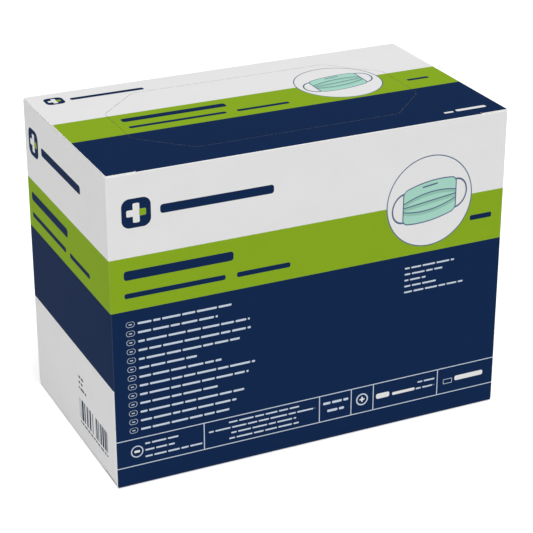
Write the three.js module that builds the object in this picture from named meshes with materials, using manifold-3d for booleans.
// A closed folding carton of coated white board: a straight tuck dispenser box for
// disposable surgical masks, with a perforated tear-out outline in its lid.
// Millimetres, +Z up. The origin is the middle of the base, on the surface that it stands on.
// The front, with the tuck, faces -Y, and the lid turns up about the top edge of the back.

import * as THREE from 'three';
import { mergeVertices } from 'three/addons/utils/BufferGeometryUtils.js';
import Module from 'manifold-3d';

// Driving sizes of the carton
const cartonWidth = 230;
const cartonDepth = 128.5;
const cartonHeight = 177.5;
const boardThickness = 0.6;
const creaseRadius = 1;
const clearance = 0.3;

// Lid and its tuck flap
const lidSideInset = 0.4;
const lockLength = 16;
const slitWidth = 1.2;
const tuckDepth = 20;
const tuckLean = THREE.MathUtils.degToRad(10);
const tuckShoulderDrop = 1.4;
const tuckSideInset = 1.8;
const tuckCornerRadius = 12;

// Perforated tear-out outline in the lid
const tearOutEndMargin = 31;
const tearOutSideMargin = 18.7;
const tearOutCornerRun = 25.5;
const tearOutCornerRadius = 7;
const cutLength = 9.2;
const cutWidth = 0.4;
const nickLength = 1;

// Dust flaps under the lid and over the bottom
const dustFlapRun = 64;
const dustFlapFrontInset = 4.5;
const dustFlapBackInset = 4;
const dustFlapTaper = 20;
const dustFlapCornerRadius = 6;

// Seam and bottom
const glueFlapRun = 15;
const glueFlapTaper = 4;
const innerFlapShortfall = 20;

// Levels and lines that follow from them
const layer = boardThickness + clearance;
const dustFlapTop = cartonHeight - layer;
const tuckLine = -cartonDepth / 2 + layer;
const flapSideInset = creaseRadius + clearance;
const innerFlapLevel = layer;
const bottomDustFlapLevel = 2 * layer;
const endPanelBottom = bottomDustFlapLevel + creaseRadius;
const endPanelTop = dustFlapTop - creaseRadius - clearance;
const backPanelBottom = innerFlapLevel + creaseRadius;
const backPanelTop = cartonHeight - creaseRadius - clearance;
const lidHalfWidth = cartonWidth / 2 - lidSideInset;
const shoulderInnerEnd = lidHalfWidth - lockLength;

// Each fold is drawn with this many straight steps
const foldSteps = 5;
const cornerSteps = 6;
// Cutting and trimming prisms reach this far past what they cut
const overcut = 5;

const wasm = await Module();
wasm.setup();

const boardWhite = new THREE.Color().setRGB(0.83, 0.83, 0.82, THREE.SRGBColorSpace);
const bandGreen = new THREE.Color().setRGB(0.5, 0.64, 0.12, THREE.SRGBColorSpace);
const printNavy = new THREE.Color().setRGB(0.08, 0.16, 0.3, THREE.SRGBColorSpace);
const uncoatedGrey = new THREE.Color().setRGB(0.74, 0.72, 0.68, THREE.SRGBColorSpace);

function boardFinish(color, roughness) {
  return new THREE.MeshStandardMaterial({ color, roughness, metalness: 0 });
}

function toSolid(geometry) {
  const bare = geometry.clone();
  bare.deleteAttribute('normal');
  bare.deleteAttribute('uv');
  const merged = mergeVertices(bare, 1e-4);
  return new wasm.Manifold(new wasm.Mesh({
    numProp: 3,
    vertProperties: new Float32Array(merged.attributes.position.array),
    triVerts: new Uint32Array(merged.index.array),
  }));
}

function toGeometry(solid) {
  const mesh = solid.getMesh();
  const geometry = new THREE.BufferGeometry();
  geometry.setAttribute('position', new THREE.BufferAttribute(mesh.vertProperties, 3));
  geometry.setIndex(new THREE.BufferAttribute(mesh.triVerts, 1));
  geometry.computeVertexNormals();
  return geometry;
}

// A prism over a closed outline, from z = low to z = high.
function prism(outline, low, high, steps = cornerSteps) {
  const geometry = new THREE.ExtrudeGeometry(outline, {
    depth: high - low, bevelEnabled: false, curveSegments: steps,
  });
  geometry.translate(0, 0, low);
  return geometry;
}

// Board that runs out along X from a fold along Z. Its outer face is y = 0, and the fold
// turns it through a right angle towards +Y, where the wall that carries it goes on.
function foldedSection(run) {
  const inner = creaseRadius - boardThickness;
  const section = new THREE.Shape();
  section.moveTo(run, 0);
  section.lineTo(run, boardThickness);
  section.lineTo(creaseRadius, boardThickness);
  section.absarc(creaseRadius, creaseRadius, inner, -Math.PI / 2, -Math.PI, true);
  section.lineTo(0, creaseRadius);
  section.absarc(creaseRadius, creaseRadius, creaseRadius, Math.PI, Math.PI * 1.5, false);
  section.lineTo(run, 0);
  return section;
}

// A polygon whose corners are rounded, each point being [x, y, radius].
function roundedOutline(points) {
  const shape = new THREE.Shape();
  points.forEach(([x, y, radius], index) => {
    const [beforeX, beforeY] = points.at(index - 1);
    const [afterX, afterY] = points[(index + 1) % points.length];
    const corner = new THREE.Vector2(x, y);
    const toBefore = new THREE.Vector2(beforeX, beforeY).sub(corner);
    const toAfter = new THREE.Vector2(afterX, afterY).sub(corner);
    const halfAngle = Math.acos(toBefore.dot(toAfter) / toBefore.length() / toAfter.length()) / 2;
    const room = Math.min(toBefore.length(), toAfter.length()) / 2;
    const setBack = Math.min(radius / Math.tan(halfAngle), room);
    const start = corner.clone().addScaledVector(toBefore.normalize(), setBack);
    const end = corner.clone().addScaledVector(toAfter.normalize(), setBack);
    if (index === 0) shape.moveTo(start.x, start.y);
    else shape.lineTo(start.x, start.y);
    if (radius > 0) shape.quadraticCurveTo(x, y, end.x, end.y);
  });
  shape.closePath();
  return shape;
}

const xAxis = new THREE.Vector3(1, 0, 0);
const yAxis = new THREE.Vector3(0, 1, 0);
const zAxis = new THREE.Vector3(0, 0, 1);

// Names a panel and turns it so that its run goes along out and its outer face looks
// away from inward.
function panel(name, geometry, finish, out, inward, position) {
  const mesh = new THREE.Mesh(geometry, finish);
  mesh.name = name;
  const along = out.clone().cross(inward);
  mesh.quaternion.setFromRotationMatrix(new THREE.Matrix4().makeBasis(out, inward, along));
  mesh.position.set(...position);
  return mesh;
}

// A flap with a fold along one edge and a plan outline of its own, given as
// [run, place along the fold, corner radius].
function outlinedFlap(run, span, outline) {
  const strip = toSolid(prism(foldedSection(run), 0, span, foldSteps));
  const cutter = prism(roundedOutline(outline), -overcut, overcut);
  cutter.rotateX(Math.PI / 2);
  return toGeometry(strip.intersect(toSolid(cutter)));
}

function plainFlap(run, span) {
  return prism(foldedSection(run), 0, span, foldSteps);
}

// The front wraps round both front corners, so its section has a fold at each end.
function frontPanel() {
  const inner = creaseRadius - boardThickness;
  const rightFold = cartonWidth - creaseRadius;
  const section = new THREE.Shape();
  section.moveTo(creaseRadius, 0);
  section.lineTo(rightFold, 0);
  section.absarc(rightFold, creaseRadius, creaseRadius, -Math.PI / 2, 0, false);
  section.lineTo(cartonWidth - boardThickness, creaseRadius);
  section.absarc(rightFold, creaseRadius, inner, 0, -Math.PI / 2, true);
  section.lineTo(creaseRadius, boardThickness);
  section.absarc(creaseRadius, creaseRadius, inner, -Math.PI / 2, -Math.PI, true);
  section.lineTo(0, creaseRadius);
  section.absarc(creaseRadius, creaseRadius, creaseRadius, Math.PI, Math.PI * 1.5, false);
  return panel(
    'front_panel', prism(section, 0, dustFlapTop - creaseRadius, foldSteps),
    boardFinish(printNavy, 0.35), xAxis, yAxis,
    [-cartonWidth / 2, -cartonDepth / 2, creaseRadius],
  );
}

// The back has the fold at its left corner and its cut edge at the right, over the seam.
function backPanel() {
  const run = cartonWidth - clearance;
  return panel(
    'back_panel', plainFlap(run, backPanelTop - backPanelBottom),
    boardFinish(printNavy, 0.35), xAxis, yAxis.clone().negate(),
    [-cartonWidth / 2, cartonDepth / 2, backPanelTop],
  );
}

function endPanel(name, side) {
  const atSeam = side > 0;
  const front = -cartonDepth / 2 + creaseRadius;
  const back = cartonDepth / 2 - creaseRadius - (atSeam ? layer : 0);
  const slab = new THREE.BoxGeometry(boardThickness, back - front, endPanelTop - endPanelBottom);
  const mesh = new THREE.Mesh(slab, boardFinish(printNavy, 0.35));
  mesh.name = name;
  mesh.position.set(
    side * (cartonWidth - boardThickness) / 2,
    (front + back) / 2,
    (endPanelTop + endPanelBottom) / 2,
  );
  return mesh;
}

// The seam: a narrow flap folded from the right end and glued inside the back.
function glueFlap() {
  const span = endPanelTop - endPanelBottom;
  const outline = [
    [-overcut, 0, 0],
    [creaseRadius, 0, 0],
    [glueFlapRun, glueFlapTaper, 0],
    [glueFlapRun, span - glueFlapTaper, 0],
    [creaseRadius, span, 0],
    [-overcut, span, 0],
  ];
  return panel(
    'glue_flap', outlinedFlap(glueFlapRun, span, outline),
    boardFinish(uncoatedGrey, 0.8), xAxis.clone().negate(), yAxis.clone().negate(),
    [cartonWidth / 2, cartonDepth / 2 - layer, endPanelBottom],
  );
}

// A dust flap's plan: square at the tuck, tapered beside the lid's hinge so that it
// can rise behind the lid.
function dustFlapOutline(frontPlace, backPlace) {
  const towardsFront = Math.sign(frontPlace - backPlace);
  return [
    [-overcut, frontPlace, 0],
    [dustFlapRun, frontPlace, dustFlapCornerRadius],
    [dustFlapRun, backPlace + towardsFront * dustFlapTaper, dustFlapCornerRadius],
    [creaseRadius, backPlace, 0],
    [-overcut, backPlace, 0],
  ];
}

function dustFlap(name, side) {
  const span = cartonDepth;
  const frontPlace = side < 0 ? dustFlapFrontInset : span - dustFlapFrontInset;
  const backPlace = side < 0 ? span - dustFlapBackInset : dustFlapBackInset;
  const outline = dustFlapOutline(frontPlace, backPlace);
  return panel(
    name, outlinedFlap(dustFlapRun, span, outline),
    boardFinish(uncoatedGrey, 0.8), xAxis.clone().multiplyScalar(-side), zAxis.clone().negate(),
    [side * cartonWidth / 2, side * span / 2, dustFlapTop],
  );
}

function bottomDustFlap(name, side) {
  const span = cartonDepth - 2 * flapSideInset;
  return panel(
    name, plainFlap(dustFlapRun, span),
    boardFinish(uncoatedGrey, 0.8), xAxis.clone().multiplyScalar(-side), zAxis,
    [side * cartonWidth / 2, -side * span / 2, bottomDustFlapLevel],
  );
}

function bottomFlapOuter() {
  const span = cartonWidth - 2 * flapSideInset;
  return panel(
    'bottom_flap_outer', plainFlap(cartonDepth - clearance, span),
    boardFinish(boardWhite, 0.4), yAxis, zAxis,
    [-span / 2, -cartonDepth / 2, 0],
  );
}

function bottomFlapInner() {
  const span = cartonWidth - 2 * flapSideInset;
  return panel(
    'bottom_flap_inner', plainFlap(cartonDepth - innerFlapShortfall, span),
    boardFinish(uncoatedGrey, 0.8), yAxis.clone().negate(), zAxis,
    [span / 2, cartonDepth / 2, innerFlapLevel],
  );
}

// The tear-out outline, centred on the origin: an oblong octagon with softened corners.
function tearOutPath() {
  const halfX = cartonWidth / 2 - tearOutEndMargin;
  const halfY = cartonDepth / 2 - tearOutSideMargin;
  const sideX = halfX - tearOutCornerRun;
  const endY = halfY - tearOutCornerRun;
  const corners = [
    [sideX, -halfY], [halfX, -endY], [halfX, endY], [sideX, halfY],
    [-sideX, halfY], [-halfX, endY], [-halfX, -endY], [-sideX, -halfY],
  ];
  return roundedOutline(corners.map(([x, y]) => [x, y, tearOutCornerRadius]));
}

// One cut of the perforation, a thin slot that follows the outline between two shares of it.
function cutSlot(path, from, to) {
  const steps = 4;
  const near = [];
  const far = [];
  for (let step = 0; step <= steps; step += 1) {
    const share = from + (to - from) * step / steps;
    const point = path.getPointAt(share);
    const tangent = path.getTangentAt(share);
    const across = new THREE.Vector2(-tangent.y, tangent.x).multiplyScalar(cutWidth / 2);
    near.push(point.clone().sub(across));
    far.unshift(point.clone().add(across));
  }
  return toSolid(prism(new THREE.Shape([...near, ...far]), -overcut, overcut));
}

function perforation() {
  const path = tearOutPath();
  const length = path.getLength();
  const count = Math.round(length / (cutLength + nickLength));
  const cutShare = 1 / count - nickLength / length;
  const cuts = [];
  for (let index = 0; index < count; index += 1) {
    const from = index / count;
    cuts.push(cutSlot(path, from, from + cutShare));
  }
  return cuts.reduce((all, cut) => all.add(cut));
}

// The lid turns about the fold at the back. Its front corners are cut free of the tuck
// flap and lie over the front's top edge. Between them it stops where the tuck's fold starts.
function lidPanel() {
  const run = cartonDepth - clearance;
  const board = prism(foldedSection(run), -lidHalfWidth, lidHalfWidth, foldSteps);
  const foldStart = cartonDepth / 2 - tuckLine - creaseRadius - clearance;
  const frontRelief = new THREE.BoxGeometry(2 * overcut, 2 * overcut, 2 * shoulderInnerEnd);
  frontRelief.translate(foldStart + overcut, 0, 0);
  const cuts = toGeometry(perforation());
  cuts.applyMatrix4(new THREE.Matrix4().makeBasis(
    zAxis, xAxis.clone().negate(), yAxis.clone().negate(),
  ));
  cuts.translate(cartonDepth / 2, 0, 0);
  const solid = toSolid(board).subtract(toSolid(frontRelief)).subtract(toSolid(cuts));
  return panel(
    'lid_panel', toGeometry(solid), boardFinish(bandGreen, 0.35),
    yAxis.clone().negate(), zAxis.clone().negate(), [0, cartonDepth / 2, cartonHeight],
  );
}

// The tuck flap hangs from its fold behind the front and leans into the carton. Its
// section lies in its own X-Y plane, X being forwards and Y down.
function tuckFlap() {
  const inner = creaseRadius - boardThickness;
  const turn = Math.PI / 2 + tuckLean;
  const centreX = -creaseRadius;
  const foot = (tuckDepth - creaseRadius) / Math.cos(tuckLean);
  const alongX = -Math.sin(tuckLean) * foot;
  const alongY = Math.cos(tuckLean) * foot;
  const endAngle = -Math.PI / 2 + turn;
  const outerEnd = [
    centreX + creaseRadius * Math.cos(endAngle), creaseRadius + creaseRadius * Math.sin(endAngle),
  ];
  const innerEnd = [
    centreX + inner * Math.cos(endAngle), creaseRadius + inner * Math.sin(endAngle),
  ];
  const section = new THREE.Shape();
  section.moveTo(centreX, 0);
  section.absarc(centreX, creaseRadius, creaseRadius, -Math.PI / 2, endAngle, false);
  section.lineTo(outerEnd[0] + alongX, outerEnd[1] + alongY);
  section.lineTo(innerEnd[0] + alongX, innerEnd[1] + alongY);
  section.lineTo(...innerEnd);
  section.absarc(centreX, creaseRadius, inner, endAngle, -Math.PI / 2, true);

  const halfFold = shoulderInnerEnd - slitWidth;
  const halfFlap = cartonWidth / 2 - tuckSideInset;
  const strip = toSolid(prism(section, -halfFlap, halfFlap, 2 * foldSteps));
  const outline = [
    [-overcut, halfFold, 0],
    [tuckShoulderDrop, halfFold, 0],
    [tuckShoulderDrop, halfFlap, 0],
    [tuckDepth, halfFlap, tuckCornerRadius],
    [tuckDepth, -halfFlap, tuckCornerRadius],
    [tuckShoulderDrop, -halfFlap, 0],
    [tuckShoulderDrop, -halfFold, 0],
    [-overcut, -halfFold, 0],
  ];
  const cutter = prism(roundedOutline(outline), -cartonDepth / 2, overcut);
  cutter.applyMatrix4(new THREE.Matrix4().makeBasis(yAxis, zAxis, xAxis));
  return panel(
    'tuck_flap', toGeometry(strip.intersect(toSolid(cutter))), boardFinish(printNavy, 0.35),
    yAxis.clone().negate(), zAxis.clone().negate(), [0, tuckLine, cartonHeight],
  );
}

const carton = new THREE.Group();
carton.add(
  frontPanel(),
  backPanel(),
  endPanel('end_panel_left', -1),
  endPanel('end_panel_right', 1),
  glueFlap(),
  bottomFlapOuter(),
  bottomFlapInner(),
  bottomDustFlap('bottom_dust_flap_left', -1),
  bottomDustFlap('bottom_dust_flap_right', 1),
  dustFlap('dust_flap_left', -1),
  dustFlap('dust_flap_right', 1),
  lidPanel(),
  tuckFlap(),
);

export default carton;
